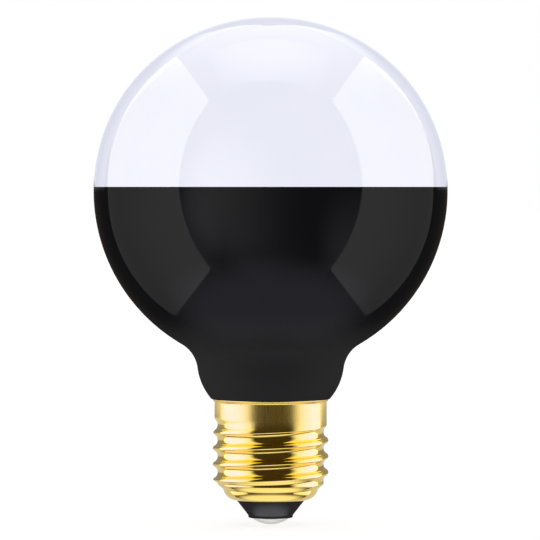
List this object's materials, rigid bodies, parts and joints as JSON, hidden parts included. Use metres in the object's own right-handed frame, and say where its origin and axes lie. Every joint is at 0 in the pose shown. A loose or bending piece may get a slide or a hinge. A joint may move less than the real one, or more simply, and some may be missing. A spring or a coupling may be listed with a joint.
{
  "type": "globe lamp with screw cap",
  "caption": "Glass globe lamp with an opal dome over a glossy black lower half, on a brass Edison screw cap with a dark insulator and a domed centre contact.",
  "frame": {"origin": "lowest point of the centre contact, on the lamp's axis", "axes": "+Z along the lamp's axis from the contact to the top of the globe, -X towards the side where the lowest thread crest is measured"},
  "size_m": [0.08, 0.08, 0.1154],
  "materials": {
    "opal_glass": "glossy opal white above the coat line, glossy black lacquer below it",
    "cap_brass": "bright, drawn and rolled",
    "black_insulator": "glassy black, moulded",
    "contact_metal": "tinned, satin"
  },
  "bodies": {
    "root": {"globe": "opal_glass", "screw_cap": "cap_brass", "insulator": "black_insulator", "centre_contact": "contact_metal"}
  },
  "joints": []
}
